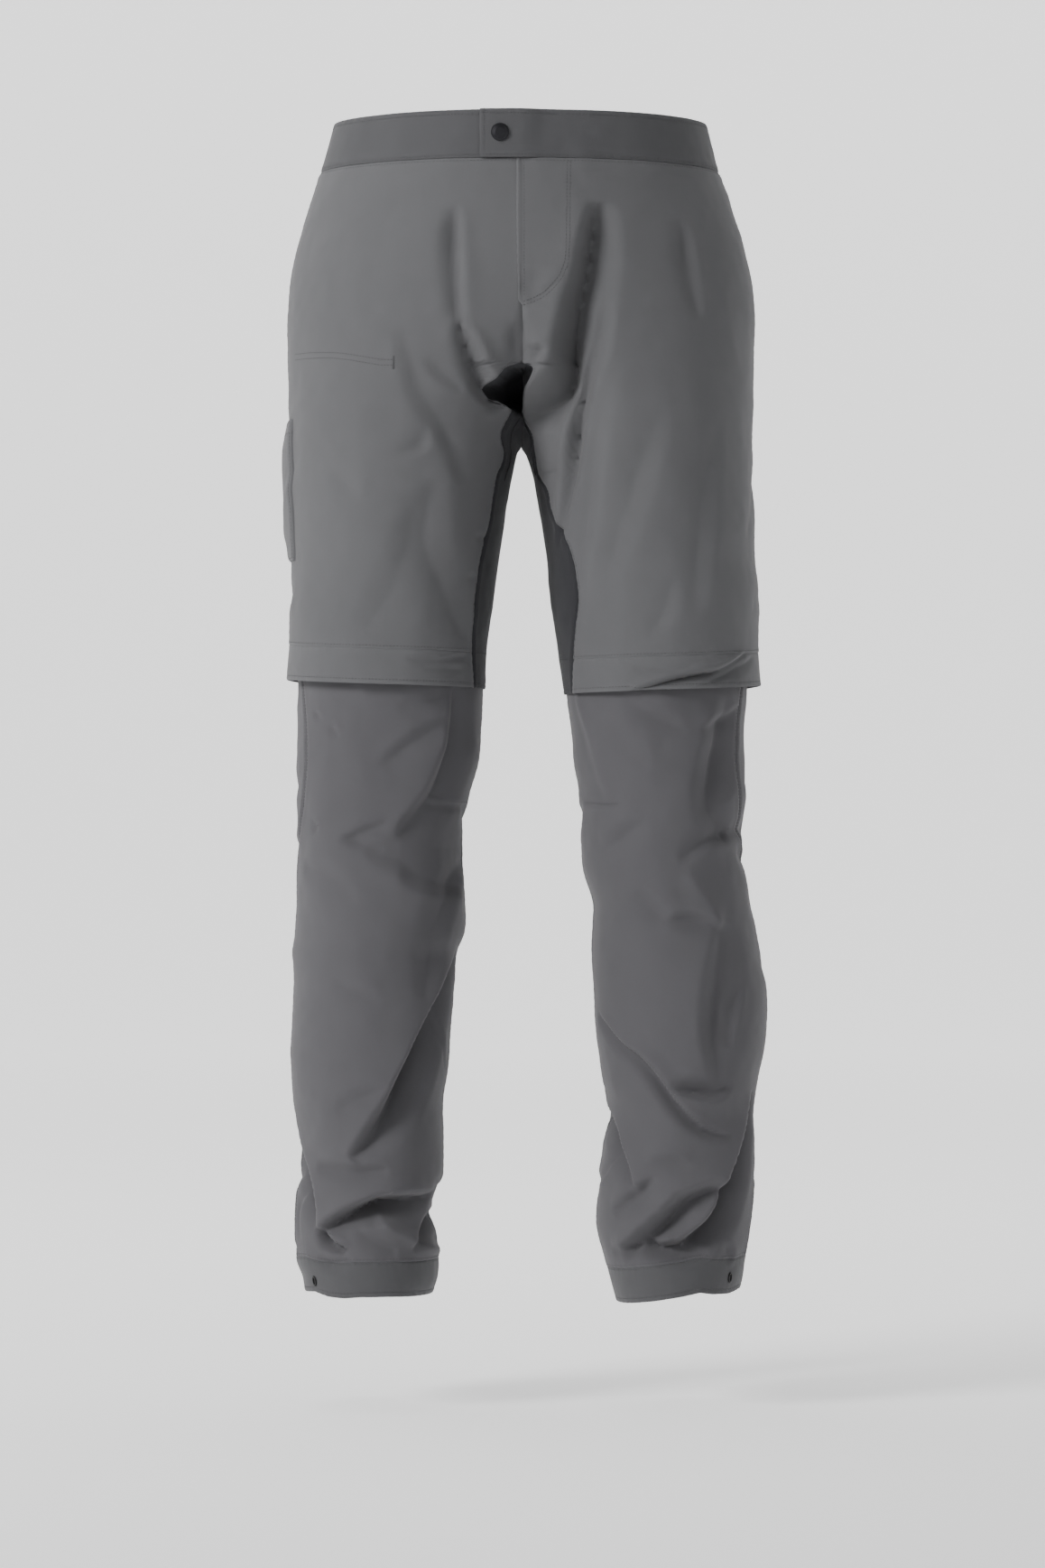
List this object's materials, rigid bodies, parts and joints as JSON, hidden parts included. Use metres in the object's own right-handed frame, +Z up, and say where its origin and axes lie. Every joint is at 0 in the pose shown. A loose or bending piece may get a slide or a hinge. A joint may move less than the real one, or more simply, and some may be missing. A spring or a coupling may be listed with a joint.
{
  "type": "convertible zip-off trousers",
  "caption": "Worn hiking trousers with hollow cloth legs that zip off above the knee under a stitched flap, dark stretch inner thighs and drawcord hems.",
  "frame": {"origin": "middle of the waist opening, level with the waistband's top edge, where the wearer's waist holds the garment", "axes": "+Z up out of the waist opening, -Y towards the front, +X towards the wearer's left"},
  "size_m": [0.4323, 0.2688, 1.0421],
  "materials": {
    "thigh_cloth": "matte woven stretch",
    "shin_cloth": "matte woven stretch",
    "stretch_cloth": "matte knitted stretch",
    "band_cloth": "matte woven stretch",
    "zip_tape": "woven tape",
    "zip_slider": "satin",
    "eyelet": "satin",
    "snap": "satin"
  },
  "bodies": {
    "root": {"waistband": "band_cloth", "waist_snap": "snap", "fly_facing": "thigh_cloth", "fly_zip": "zip_tape", "fly_zip_slider": "zip_slider", "front_thigh_right": "thigh_cloth", "front_thigh_left": "thigh_cloth", "back_thigh_right": "thigh_cloth", "back_thigh_left": "thigh_cloth", "inner_thigh_right": "stretch_cloth", "inner_thigh_left": "stretch_cloth", "side_pocket_right": "thigh_cloth", "zip_flap_right": "thigh_cloth", "zip_flap_left": "thigh_cloth", "leg_zip_right": "zip_tape", "leg_zip_left": "zip_tape", "leg_zip_slider_right": "zip_slider", "leg_zip_slider_left": "zip_slider", "lower_front_right": "shin_cloth", "lower_front_left": "shin_cloth", "lower_back_right": "shin_cloth", "lower_back_left": "shin_cloth", "hem_right": "band_cloth", "hem_left": "band_cloth", "hem_eyelet_right": "eyelet", "hem_eyelet_left": "eyelet"}
  },
  "joints": []
}
